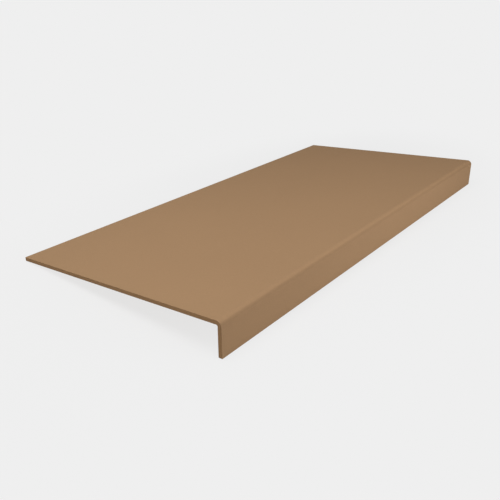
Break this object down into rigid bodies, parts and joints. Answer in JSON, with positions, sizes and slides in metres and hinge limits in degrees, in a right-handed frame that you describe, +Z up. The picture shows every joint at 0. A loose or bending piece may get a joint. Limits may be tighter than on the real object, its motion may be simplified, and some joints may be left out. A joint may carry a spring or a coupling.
{
  "type": "rubber stair tread",
  "caption": "Rubber stair tread: a smooth thin flat plate that covers a step, with a plain square nose that turns down over the step's front edge.",
  "frame": {"origin": "bottom centre of the tread's box, on the floor that it lies on", "axes": "+X along the step, -Y out of the front of the nose, +Y to the back edge, +Z up"},
  "size_m": [0.635, 0.3048, 0.0395],
  "materials": {
    "rubber": "smooth matte tan-brown moulded rubber"
  },
  "bodies": {
    "root": {"tread": "rubber"}
  },
  "joints": []
}
